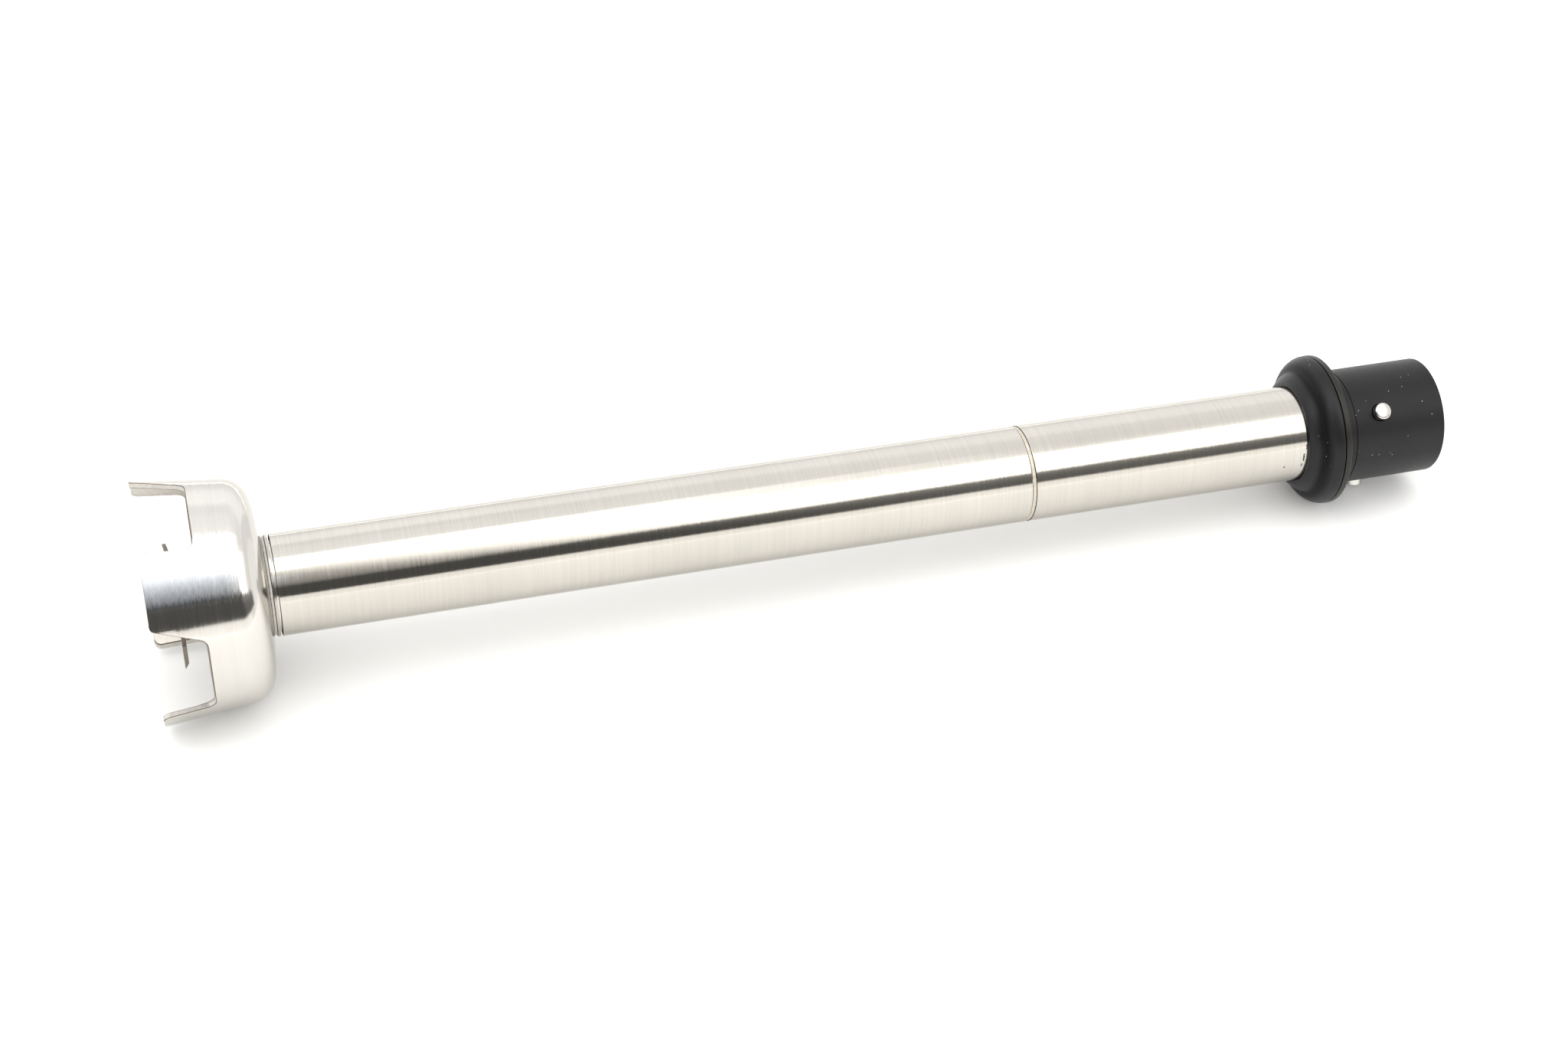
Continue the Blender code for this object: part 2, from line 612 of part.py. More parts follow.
def main():
    clear_scene()
    axis, (rotor, lower_cage, upper_cage) = make_axis_frame()
    brushed = make_material("brushed_steel", (0.72, 0.69, 0.64), 0.28, 1.0)
    polished = make_material("polished_steel", (0.85, 0.84, 0.82), 0.12, 1.0)
    blade_steel = make_material("blade_steel", (0.30, 0.27, 0.24), 0.35, 1.0)
    rubber = make_material("black_rubber", (0.020, 0.021, 0.023), 0.55, 0.0)
    plastic = make_material("black_plastic", (0.022, 0.023, 0.026), 0.50, 0.0)
    disc_plastic = make_material("disc_plastic", (0.115, 0.105, 0.095), 0.45, 0.0)
    bronze = make_material("bronze", (0.55, 0.36, 0.17), 0.40, 1.0)
    ptfe = make_material("white_ptfe", (0.82, 0.82, 0.80), 0.45, 0.0)

    make_bell(axis, brushed)
    make_lock_ring(axis, brushed)
    make_tubes(axis, brushed)
    make_boot(axis, rubber)
    make_coupling(axis, plastic, disc_plastic, brushed, polished)
    make_seals(axis, rubber, bronze, ptfe, polished)
    make_bearing("lower", LOWER_BEARING_S, axis, lower_cage, rotor, polished, bronze)
    make_bearing("upper", UPPER_BEARING_S, axis, upper_cage, rotor, polished, bronze)
    shaft = make_shaft(rotor, polished)
    make_blade(rotor, blade_steel)
    make_blade_fixings(rotor, polished)
    make_coupler(rotor, shaft, polished)


main()
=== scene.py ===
import json
import math

import bpy
import bmesh
from mathutils import Matrix, Vector


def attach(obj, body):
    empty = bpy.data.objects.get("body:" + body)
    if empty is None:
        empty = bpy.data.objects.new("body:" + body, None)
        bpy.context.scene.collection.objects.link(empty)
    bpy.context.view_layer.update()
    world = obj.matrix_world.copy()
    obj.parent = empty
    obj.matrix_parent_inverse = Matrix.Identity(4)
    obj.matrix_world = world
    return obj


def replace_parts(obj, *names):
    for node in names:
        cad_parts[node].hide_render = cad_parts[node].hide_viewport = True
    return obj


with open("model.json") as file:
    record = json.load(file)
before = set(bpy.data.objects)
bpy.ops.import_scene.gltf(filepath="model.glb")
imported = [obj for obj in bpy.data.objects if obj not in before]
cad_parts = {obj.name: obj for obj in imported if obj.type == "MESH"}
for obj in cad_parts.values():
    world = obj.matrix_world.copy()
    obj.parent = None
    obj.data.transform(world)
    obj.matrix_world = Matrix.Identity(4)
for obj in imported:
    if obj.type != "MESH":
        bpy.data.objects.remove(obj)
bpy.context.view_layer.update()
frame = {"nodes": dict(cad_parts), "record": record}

# Pieces are made in the frame of the foot's own axis: X is the station along it in
# millimetres, 0 at the bell end of the tube, and angles start at -Y and go upwards.
MM = 0.001
RING_POINT = Vector((-0.17556, 0.0, 0.03564))
TILT = math.radians(1.66408)
AXIS = Matrix.Translation(RING_POINT) @ Matrix.Rotation(TILT, 4, "Y")

FINE = 224                     # sides of the large turned pieces
SMALL = 96                     # sides of the small turned pieces
SHARP = 32.0                   # an edge stays sharp above this many degrees

TUBE_R = 16.0
TUBE_BORE_R = 14.5

MOUTH_S = -39.0                # station of the leg tips
WINDOW_S = -23.0               # station where the windows end
SKIRT_END_S = -11.6            # the skirt meets the shoulder here
SKIRT_REF_S = -10.0
SKIRT_REF_R = 34.9             # skirt radius at that station
SKIRT_SLOPE = 0.1095           # radius gained per millimetre towards the mouth
SHOULDER_R = 8.8
BACK_ANGLE = math.radians(6.5)
WALL = 1.9                     # sheet thickness of the bell
BOSS_R = 10.5                  # boss inside the bell, round the shaft
LEGS = 4
LEG_ROLL = math.radians(39.7)  # middle of the front leg

PINS = 3
PIN_ROLL = math.radians(45.6)
PIN_S = 367.3
PIN_SIDES = 48
PIN_HOLE_R = 3.0
PIN_HOLE_DEPTHS = (12.9, 26.0)

BLADE_ROLL = math.radians(3.8)
BLADE_FACE_S = -30.35          # face towards the mouth
BLADE_THICKNESS = 1.25
BEND_START = 9.0               # distance from the axis where the hooked wing starts to bend
BEND_SLOPE = 0.12
BOLT_HOLE_R = 2.85
# distance along the blade, half width on the leading and the trailing side, and ground width
BLADE_SECTIONS = ((29.0, 5.5, 3.0, 2.1), (24.0, 6.2, 4.6, 2.1), (13.0, 6.0, 6.0, 2.1),
                  (9.0, 6.5, 6.5, 0.0), (0.0, 7.5, 7.5, 0.0), (-9.0, 6.5, 6.5, 0.0),
                  (-14.0, 5.6, 5.6, 0.0), (-17.5, 2.8, 5.5, 0.0), (-20.0, -0.8, 5.4, 0.0),
                  (-22.2, -4.0, 5.2, 0.0), (-24.0, -4.7, 5.1, 0.0))

CROSS_PIN_S = 378.8
CROSS_HOLE_R = 1.4
JAW_SLOT_HALF = 2.2


# ---------------------------------------------------------------- shapes


def at(station, radius, angle):
    return Vector((station, -radius * math.cos(angle), radius * math.sin(angle))) * MM


def radial(angle):
    return Vector((0.0, -math.cos(angle), math.sin(angle)))


def tangent(angle):
    return Vector((0.0, math.sin(angle), math.cos(angle)))


def rounded(points, steps=4):
    """Closed outline of (s, r) or (s, r, rounding) points with the rounded corners filled in."""
    out = []
    count = len(points)
    for i, point in enumerate(points):
        radius = point[2] if len(point) > 2 else 0.0
        if radius == 0.0:
            out.append((point[0], point[1]))
            continue
        corner = Vector(point[:2])
        before = (Vector(points[i - 1][:2]) - corner).normalized()
        after = (Vector(points[(i + 1) % count][:2]) - corner).normalized()
        half = before.angle(after) / 2.0
        middle = corner + (before + after).normalized() * radius / math.sin(half)
        start = corner + before * radius / math.tan(half) - middle
        end = corner + after * radius / math.tan(half) - middle
        turn = start.angle(end)
        for k in range(steps + 1):
            share = k / steps
            arm = (start * math.sin((1.0 - share) * turn) + end * math.sin(share * turn)) / math.sin(turn)
            out.append(tuple(middle + arm))
    return out


def arc(centre, radius, start, end, steps):
    turns = [start + (end - start) * i / steps for i in range(steps + 1)]
    return [(centre[0] + radius * math.cos(t), centre[1] + radius * math.sin(t)) for t in turns]


def keep_shading_even(item):
    """Let the large faces lead the smooth shading next to a bevel."""
    even = item.modifiers.new("even", "WEIGHTED_NORMAL")
    even.keep_sharp = True


def piece(name, shape, material, body, sharp=SHARP, weighted=True):
    """Object of a bmesh that rides on a body, smooth with sharp edges kept."""
    bmesh.ops.recalc_face_normals(shape, faces=shape.faces)
    mesh = bpy.data.meshes.new(name)
    shape.to_mesh(mesh)
    shape.free()
    mesh.materials.append(material)
    mesh.shade_smooth()
    mesh.set_sharp_from_angle(angle=math.radians(sharp))
    item = bpy.data.objects.new(name, mesh)
    bpy.context.scene.collection.objects.link(item)
    item.matrix_world = AXIS
    if weighted:
        keep_shading_even(item)
    if body:
        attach(item, body)
    return item


def turned_shape(profile, sides=FINE, hexagon=None):
    """Turn a closed outline, or one that starts and ends on the axis."""
    shape = bmesh.new()
    rings = []
    for station, radius in profile:
        if radius < 1e-6:
            rings.append([shape.verts.new(at(station, 0.0, 0.0))] * sides)
            continue
        ring = []
        for i in range(sides):
            angle = 2.0 * math.pi * i / sides
            held = radius
            if hexagon:
                from_flat = (angle + math.pi / 6.0) % (math.pi / 3.0) - math.pi / 6.0
                held = min(radius, hexagon / 2.0 / math.cos(from_flat))
            ring.append(shape.verts.new(at(station, held, angle)))
        rings.append(ring)
    pairs = list(zip(rings, rings[1:]))
    if profile[0][1] > 1e-6:
        pairs.append((rings[-1], rings[0]))
    for near, far in pairs:
        for i in range(sides):
            j = (i + 1) % sides
            corners = []
            for vertex in (near[i], near[j], far[j], far[i]):
                if vertex not in corners:
                    corners.append(vertex)
            shape.faces.new(corners)
    return shape


def turned(name, profile, material, body, sides=FINE, hexagon=None, sharp=SHARP):
    return piece(name, turned_shape(profile, sides, hexagon), material, body, sharp)


def disc_outline(radius, sides=48):
    turns = [2.0 * math.pi * i / sides for i in range(sides)]
    return [(radius * math.cos(t), radius * math.sin(t)) for t in turns]


def prism_shape(outline, along, across, depth_axis, depths):
    """Outline (u along one direction, v across it) swept between two depths."""
    shape = bmesh.new()
    layers = []
    for depth in depths:
        base = Vector(depth_axis) * depth
        layer = [base + Vector(along) * u + Vector(across) * v for u, v in outline]
        layers.append([shape.verts.new(point * MM) for point in layer])
    count = len(outline)
    for i in range(count):
        j = (i + 1) % count
        shape.faces.new((layers[0][i], layers[0][j], layers[1][j], layers[1][i]))
    shape.faces.new(reversed(layers[0]))
    shape.faces.new(layers[1])
    return shape


def cut(target, cutters):
    """Cut away shapes that are used up by it, and settle the result in the mesh."""
    for cutter in cutters:
        step = target.modifiers.new("cut", "BOOLEAN")
        step.operation = "DIFFERENCE"
        step.material_mode = "TRANSFER"
        step.object = cutter
    settle(target)
    for cutter in cutters:
        bpy.data.objects.remove(cutter)


def settle(item):
    """Turn the modified shape into the object's own mesh."""
    bpy.context.view_layer.update()
    graph = bpy.context.evaluated_depsgraph_get()
    mesh = bpy.data.meshes.new_from_object(item.evaluated_get(graph), depsgraph=graph)
    item.modifiers.clear()
    item.data = mesh
    mesh.shade_smooth()
    mesh.set_sharp_from_angle(angle=math.radians(SHARP))


def bevel(item, width, slot=-1):
    """Break the sharp edges, with the material of a slot where one is given."""
    edge = item.modifiers.new("edge", "BEVEL")
    edge.width = width * MM
    edge.segments = 2
    edge.limit_method = "ANGLE"
    edge.angle_limit = math.radians(40.0)
    edge.use_clamp_overlap = False
    edge.miter_outer = "MITER_ARC"
    edge.material = slot
    settle(item)
    keep_shading_even(item)


# ---------------------------------------------------------------- materials


class Paint:
    """Short way to write a node material on the piece's own coordinates."""

    def __init__(self, name, colour, roughness, metallic=0.0):
        self.material = bpy.data.materials.new(name)
        self.material.use_nodes = True
        self.tree = self.material.node_tree
        self.shader = self.tree.nodes["Principled BSDF"]
        self.shader.inputs["Base Color"].default_value = (*colour, 1.0)
        self.shader.inputs["Roughness"].default_value = roughness
        self.shader.inputs["Metallic"].default_value = metallic
        self.place = self.tree.nodes.new("ShaderNodeTexCoord").outputs["Object"]

    def node(self, kind, **settings):
        made = self.tree.nodes.new(kind)
        for key, value in settings.items():
            setattr(made, key, value)
        return made

    def link(self, source, target):
        self.tree.links.new(source, target)

    def axes(self, vector=None):
        """X, Y and Z of a vector, or of the place on the piece."""
        parts = self.node("ShaderNodeSeparateXYZ")
        self.link(self.place if vector is None else vector, parts.inputs["Vector"])
        return parts.outputs["X"], parts.outputs["Y"], parts.outputs["Z"]

    def scaled(self, scale):
        """The place on the piece, scaled alike along all axes by a number, or by three."""
        if isinstance(scale, float):
            scale = (scale, scale, scale)
        mapping = self.node("ShaderNodeMapping")
        mapping.inputs["Scale"].default_value = scale
        self.link(self.place, mapping.inputs["Vector"])
        return mapping.outputs["Vector"]

    def noise(self, scale, detail=3.0, rough=0.55):
        """Noise with one scale, or with its own scale along each axis, per metre."""
        made = self.node("ShaderNodeTexNoise")
        made.inputs["Scale"].default_value = 1.0
        made.inputs["Detail"].default_value = detail
        made.inputs["Roughness"].default_value = rough
        self.link(self.scaled(scale), made.inputs["Vector"])
        return made.outputs["Fac"]

    def spread(self, value, low, high, to_low=0.0, to_high=1.0):
        made = self.node("ShaderNodeMapRange")
        made.inputs["From Min"].default_value = low
        made.inputs["From Max"].default_value = high
        made.inputs["To Min"].default_value = to_low
        made.inputs["To Max"].default_value = to_high
        self.link(value, made.inputs["Value"])
        return made.outputs["Result"]

    def mix(self, factor, first, second):
        made = self.node("ShaderNodeMix", data_type="RGBA")
        self.link(factor, made.inputs["Factor"])
        for value, socket in ((first, made.inputs["A"]), (second, made.inputs["B"])):
            if isinstance(value, tuple):
                socket.default_value = (*value, 1.0)
            else:
                self.link(value, socket)
        return made.outputs["Result"]

    def maths(self, operation, first, second=0.0):
        made = self.node("ShaderNodeMath", operation=operation)
        for value, socket in ((first, made.inputs[0]), (second, made.inputs[1])):
            if isinstance(value, (int, float)):
                socket.default_value = value
            else:
                self.link(value, socket)
        return made.outputs[0]

    def vectors(self, operation, first, second):
        made = self.node("ShaderNodeVectorMath", operation=operation)
        for value, socket in ((first, made.inputs[0]), (second, made.inputs[1])):
            if isinstance(value, tuple):
                socket.default_value = value
            else:
                self.link(value, socket)
        return made.outputs[0]

    def scattered(self, amount, degrees, calm):
        """Normal that leans along the hoop, up to so many degrees, and hardly on the flanks."""
        normal = self.node("ShaderNodeTexCoord").outputs["Normal"]
        hoop = self.vectors("CROSS_PRODUCT", (1.0, 0.0, 0.0), normal)
        upward = self.axes(normal)[2]
        reach = self.spread(upward, 0.44, 0.56, calm, 2.0 * math.tan(math.radians(degrees)))
        lean = self.node("ShaderNodeVectorMath", operation="SCALE")
        self.link(hoop, lean.inputs[0])
        self.link(self.maths("MULTIPLY", self.maths("SUBTRACT", amount, 0.5), reach), lean.inputs["Scale"])
        turn = self.node("ShaderNodeVectorTransform", vector_type="NORMAL", convert_from="OBJECT",
                         convert_to="WORLD")
        self.link(self.vectors("ADD", normal, lean.outputs[0]), turn.inputs[0])
        return turn.outputs[0]

    def bump(self, height, strength, distance_mm, normal=None):
        made = self.node("ShaderNodeBump")
        made.inputs["Strength"].default_value = strength
        made.inputs["Distance"].default_value = distance_mm * MM
        self.link(height, made.inputs["Height"])
        if normal is not None:
            self.link(normal, made.inputs["Normal"])
        self.link(made.outputs["Normal"], self.shader.inputs["Normal"])

    def base(self, colour):
        self.link(colour, self.shader.inputs["Base Color"])

    def rough(self, value):
        self.link(value, self.shader.inputs["Roughness"])


def shade(colour, factor):
    return tuple(min(1.0, channel * factor) for channel in colour)


def angle_round_axis(p, y, z):
    """Angle in radians, from -Y upwards."""
    return p.maths("ARCTAN2", z, p.maths("MULTIPLY", y, -1.0))


def near_mark(p, station, angle, along, round_it):
    """1 inside a small patch of the surface, given in millimetres and degrees, 0 outside it."""
    x, y, z = p.axes()
    off_x = p.maths("DIVIDE", p.maths("SUBTRACT", x, station * MM), along * MM)
    off_turn = p.maths("SUBTRACT", angle_round_axis(p, y, z), math.radians(angle))
    off_turn = p.maths("MULTIPLY", off_turn, TUBE_R / round_it)
    ragged = p.spread(p.noise(1500.0, 3.0), 0.3, 0.7, -0.5, 0.5)
    distance = p.maths("MAXIMUM", p.maths("ABSOLUTE", off_x), p.maths("ABSOLUTE", off_turn))
    return p.spread(p.maths("ADD", distance, ragged), 0.8, 1.1, 1.0, 0.0)


MARK_COLOUR = (0.05, 0.042, 0.034)
CALM_SCATTER = 0.01


def brushed(name, colour, roughness, anisotropy, fine=3400.0, depth=0.08, bump=0.05, scatter=0.6, marks=()):
    """Steel ground in circles round the axis: fine streaks that follow the hoop."""
    p = Paint(name, colour, roughness, 1.0)
    fine_streak = p.noise((fine, 26.0, 26.0), 2.0)
    broad_streak = p.noise((fine / 6.0, 9.0, 9.0), 3.0)
    cloud = p.noise((22.0, 30.0, 30.0), 3.0)
    streak = p.maths("ADD", p.maths("MULTIPLY", fine_streak, 0.6), p.maths("MULTIPLY", broad_streak, 0.4))
    tone = p.mix(p.spread(streak, 0.32, 0.68), shade(colour, 1.0 - depth), shade(colour, 1.0 + depth * 0.6))
    dull_tone = p.mix(p.spread(streak, 0.3, 0.7), shade(colour, 0.955 - depth), shade(colour, 0.985))
    clouded = p.mix(p.spread(cloud, 0.35, 0.7), tone, dull_tone)
    for mark in marks:
        clouded = p.mix(near_mark(p, *mark), clouded, MARK_COLOUR)
    p.base(clouded)
    p.rough(p.spread(streak, 0.3, 0.7, roughness - 0.035, roughness + 0.045))
    grain = p.noise((3200.0, 460.0, 460.0), 3.0, 0.65)
    p.bump(streak, bump, 0.02, p.scattered(p.spread(grain, 0.28, 0.72), scatter, CALM_SCATTER))
    p.shader.inputs["Specular Tint"].default_value = (0.86, 0.86, 0.85, 1.0)
    p.shader.inputs["Anisotropic"].default_value = anisotropy
    p.shader.inputs["Anisotropic Rotation"].default_value = 0.25
    hoop = p.node("ShaderNodeTangent", direction_type="RADIAL", axis="X")
    p.link(hoop.outputs["Tangent"], p.shader.inputs["Tangent"])
    return p.material


def cut_steel(name, colour, roughness, metallic=1.0):
    """Edge left by a milling or laser cut: rough, with short ridges."""
    p = Paint(name, colour, roughness, metallic)
    ridge = p.noise(900.0, 4.0, 0.7)
    p.base(p.mix(p.spread(ridge, 0.3, 0.7), shade(colour, 0.75), shade(colour, 1.1)))
    p.rough(p.spread(ridge, 0.3, 0.7, roughness - 0.1, roughness + 0.15))
    p.bump(ridge, 0.25, 0.05)
    return p.material


def polished(name, colour, roughness):
    """Smooth metal with a faint cloud in its colour and gloss."""
    p = Paint(name, colour, roughness, 1.0)
    cloud = p.noise(300.0, 4.0)
    p.base(p.mix(p.spread(cloud, 0.3, 0.7), shade(colour, 0.93), shade(colour, 1.03)))
    p.rough(p.spread(cloud, 0.3, 0.7, roughness * 0.7, roughness * 1.4))
    p.bump(cloud, 0.03, 0.02)
    return p.material


DUST_COLOUR = (0.50, 0.50, 0.52)
# painted shade for the valley of a folded surface: how dark it gets and how much of the open look is left
FOLD_SHADE = 0.15              # colour that is mixed in at a fold, as a share of the piece's own
FOLD_LEFT = 0.42               # share of the open surface's look that is left there


def moulded(name, colour, roughness, grain, dust, sheen, fold_shade=None):
    """Dark rubber or plastic with a fine grain and a few specks of white dust.

    Where the surface folds in, given by the station of the valley and by where the painted shade ends
    and the open surface starts on either side of it, painted shade makes it darker and duller.
    """
    p = Paint(name, colour, roughness)
    grain_noise = p.noise(4200.0, 3.0)
    cloud = p.noise(60.0, 4.0)
    tone = p.mix(p.spread(cloud, 0.3, 0.72), shade(colour, 0.82), shade(colour, 1.25))
    specks = p.node("ShaderNodeTexVoronoi", feature="F1")
    specks.inputs["Scale"].default_value = 1.0
    p.link(p.scaled(520.0), specks.inputs["Vector"])
    near = p.spread(specks.outputs["Distance"], 0.05, 0.08, 1.0, 0.0)
    picked = p.spread(p.noise(130.0, 2.0), 0.53, 0.55)
    dusty = p.maths("MULTIPLY", p.maths("MULTIPLY", near, picked), dust)
    p.shader.inputs["Specular IOR Level"].default_value = sheen
    # painted shade round the valley: darker colour and less gloss
    if fold_shade:
        station, deep_half, open_half = fold_shade
        away = p.maths("ABSOLUTE", p.maths("SUBTRACT", p.axes()[0], station * MM))
        open_share = p.spread(away, deep_half * MM, open_half * MM, FOLD_LEFT, 1.0)
        tone = p.mix(open_share, shade(colour, FOLD_SHADE), tone)
        p.link(p.maths("MULTIPLY", open_share, sheen), p.shader.inputs["Specular IOR Level"])
    p.base(p.mix(dusty, tone, DUST_COLOUR))
    p.rough(p.spread(grain_noise, 0.3, 0.7, roughness - 0.05, roughness + 0.08))
    p.bump(grain_noise, grain, 0.03)
    return p.material


STEEL = (0.577, 0.550, 0.501)
BELL_STEEL = (0.632, 0.610, 0.572)
BRIGHT = (0.66, 0.645, 0.605)
RUBBER = (0.0065, 0.0067, 0.0080)
# small dark marks near the boot: station, angle in degrees, half length and half width
MARKS = ((341.1, 19.0, 0.18, 0.8), (340.3, 5.0, 0.30, 1.3), (340.0, -6.3, 0.26, 0.7),
         (333.5, -5.0, 0.28, 0.28))
# painted shade in the boot's valley: station, and the half widths where the full shade ends and where the
# open surface starts, in millimetres
BOOT_FOLD_SHADE = (345.7, 0.5, 2.0)

tube_steel = brushed("brushed_tube_steel", STEEL, 0.12, 0.8)
marked_steel = brushed("marked_tube_steel", STEEL, 0.12, 0.8, marks=MARKS)
bell_steel = brushed("brushed_bell_steel", BELL_STEEL, 0.12, 0.7, fine=3000.0, depth=0.05, bump=0.16,
                     scatter=1.9)
ring_steel = brushed("turned_ring_steel", shade(STEEL, 0.9), 0.22, 0.4, fine=5200.0, depth=0.16, bump=0.3,
                     scatter=5.0)
chamfer_steel = cut_steel("turned_chamfer_steel", (0.75, 0.73, 0.68), 0.4, 0.35)
band_steel = cut_steel("tan_band_steel", (0.55, 0.50, 0.42), 0.45, 0.5)
edge_steel = cut_steel("cut_edge_steel", (0.61, 0.585, 0.54), 0.5, 0.7)
# brown of the cut edges, also used as painted shade in the ring's groove
rim_and_groove_shade_steel = cut_steel("brown_rim_and_groove_shade_steel", (0.23, 0.19, 0.15), 0.5)
inside_steel = cut_steel("blasted_inside_steel", (0.66, 0.625, 0.57), 0.42, 0.7)
# painted shade: near-black brown for the faces inside the narrow gaps and on the tube ends, where shade
# falls
gap_shade_steel = cut_steel("painted_gap_shade_steel", (0.050, 0.034, 0.020), 0.6)
blade_steel = cut_steel("dark_blade_steel", (0.175, 0.152, 0.130), 0.32)
pin_steel = polished("polished_pin_steel", BRIGHT, 0.12)
inner_steel = polished("ground_inner_steel", shade(BRIGHT, 0.85), 0.22)
bronze = polished("sintered_bronze", (0.55, 0.36, 0.17), 0.38)
rubber = moulded("black_boot_rubber", RUBBER, 0.36, grain=0.08, dust=1.0, sheen=0.28)
# boot rubber with painted shade in the valley of its folds
fold_shaded_rubber = moulded("fold_shaded_boot_rubber", RUBBER, 0.36, grain=0.08, dust=1.0, sheen=0.28, fold_shade=BOOT_FOLD_SHADE)
plastic = moulded("black_sleeve_plastic", (0.0070, 0.0070, 0.0078), 0.42, grain=0.08, dust=1.0, sheen=0.29)
disc_plastic = moulded("warm_disc_plastic", (0.013, 0.0110, 0.0080), 0.34, grain=0.06, dust=0.3, sheen=0.36)
ptfe = moulded("white_bush_plastic", (0.62, 0.62, 0.60), 0.45, grain=0.05, dust=0.0, sheen=0.35)


# ---------------------------------------------------------------- bell


def skirt_radius(station):
    return SKIRT_REF_R + SKIRT_SLOPE * (SKIRT_REF_S - station)


def bell_profile():
    """Outline of the bell: lip, skirt, shoulder, back, spigot with its bores, boss and inside."""
    flare = math.atan(SKIRT_SLOPE)
    end_r = skirt_radius(SKIRT_END_S)
    centre = (SKIRT_END_S - SHOULDER_R * math.sin(flare), end_r - SHOULDER_R * math.cos(flare))
    start = math.pi / 2.0 - flare
    inner = arc(centre, SHOULDER_R - WALL, BACK_ANGLE, start, 14)
    inner_back = inner[0][0] + (inner[0][1] - BOSS_R) * math.tan(BACK_ANGLE)
    mouth_r = skirt_radius(MOUTH_S)
    head = rounded([(-30.0, skirt_radius(-30.0) - WALL), (MOUTH_S, mouth_r - WALL, 0.3),
                    (MOUTH_S, mouth_r, 0.35), (-30.0, skirt_radius(-30.0))])
    profile = head[1:-1]
    profile += [(s, skirt_radius(s)) for s in (-31.0, -23.0, -16.0)]
    profile += arc(centre, SHOULDER_R, start, BACK_ANGLE, 20)
    profile += rounded([(-3.5, 22.0), (-2.62, 16.6, 0.3), (-2.6, 14.2), (0.0, 14.2)])[1:-1]
    profile += [(16.0, 14.2), (16.0, 11.15), (2.0, 11.15), (2.0, 8.0), (-13.4, 8.0), (-13.4, 6.0)]
    profile += rounded([(-14.4, 6.0), (-14.4, 8.2), (-19.0, 8.2, 0.2), (-19.0, BOSS_R, 0.5),
                        (inner_back, BOSS_R, 1.5), inner[0]])[:-1]
    return profile + inner + [(-31.0, skirt_radius(-31.0) - WALL)]


def window_outline():
    """Window between two legs: one straight side, one side that leans outwards."""
    straight = math.sin(math.radians(22.7))
    base_straight = (WINDOW_S, -skirt_radius(WINDOW_S) * straight, 3.0)
    base_lean = (WINDOW_S, 13.6, 3.0)
    tip_straight = (MOUTH_S, -skirt_radius(MOUTH_S) * straight, 2.4)
    tip_lean = (MOUTH_S, 19.8, 1.6)
    corners = [(MOUTH_S - 8.0, tip_straight[1] - 6.0), (MOUTH_S, tip_straight[1] - 6.0), tip_straight,
               base_straight, base_lean, tip_lean, (MOUTH_S, 23.8), (MOUTH_S - 8.0, 23.8)]
    return rounded(corners, steps=8)


def paint_faces(item, material, chosen):
    """Give a finish to the faces chosen by station, radius and outward lean along the axis."""
    item.data.materials.append(material)
    slot = len(item.data.materials) - 1
    for face in item.data.polygons:
        middle = face.center / MM
        if chosen(middle.x, math.hypot(middle.y, middle.z), face.normal.x):
            face.material_index = slot


def make_bell():
    """Turned bell with a window cut between each two legs and a softly broken edge."""
    bell = turned("bell_guard_shell", bell_profile(), bell_steel, None)
    bell.modifiers.clear()
    bell.data.materials.append(edge_steel)
    paint_faces(bell, inside_steel, lambda s, r, lean: s < -10.0 and r < skirt_radius(s) - 0.7 * WALL)
    cutters = []
    for i in range(LEGS):
        middle = LEG_ROLL + math.pi / LEGS + i * 2.0 * math.pi / LEGS
        shape = prism_shape(window_outline(), (1.0, 0.0, 0.0), tangent(middle), radial(middle),
                            (24.0, 48.0))
        cutters.append(piece("window", shape, edge_steel, None, weighted=False))
    cut(bell, cutters)
    bell.data.materials.append(rim_and_groove_shade_steel)
    bevel(bell, 0.25, slot=len(bell.data.materials) - 1)
    # painted shade on the spigot inside the gap between the bell and the ring
    paint_faces(bell, gap_shade_steel, lambda s, r, lean: -3.0 < s < 1.0 and r < 14.3)
    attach(bell, "foot")
    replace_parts(bell, "bell_guard")


make_bell()

profile = rounded([(-2.45, 14.4), (-2.45, 15.25, 0.08), (-1.75, 15.65, 0.08), (-1.75, 15.3), (-1.5, 15.3),
                   (-1.5, 15.95, 0.06), (-0.62, 15.95, 0.08), (-0.62, 14.4)])
ring = turned("lock_ring_bright", profile, ring_steel, "foot")
paint_faces(ring, chamfer_steel, lambda s, r, lean: s < -1.76)
# painted shade: the groove in the ring gets the dark brown of the cut edges
paint_faces(ring, rim_and_groove_shade_steel, lambda s, r, lean: -1.76 < s < -1.49 and r < 15.9)
# painted shade on the ring's end face at the gap
paint_faces(ring, gap_shade_steel, lambda s, r, lean: s > -0.7 and lean > 0.9)
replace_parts(ring, "bell_lock_ring")


# ---------------------------------------------------------------- tubes


def tube_outline(start, end):
    """Outer face between the two ends, whose corners are softly broken, and the bore."""
    outer = [(start + (end - start) * i / 12.0, TUBE_R) for i in range(1, 12)]
    near = rounded([(start, TUBE_BORE_R), (start, TUBE_R, 0.22), (start + 5.0, TUBE_R)])[:-1]
    far = rounded([(end - 5.0, TUBE_R), (end, TUBE_R, 0.22), (end, TUBE_BORE_R)])[1:]
    return near + outer + far


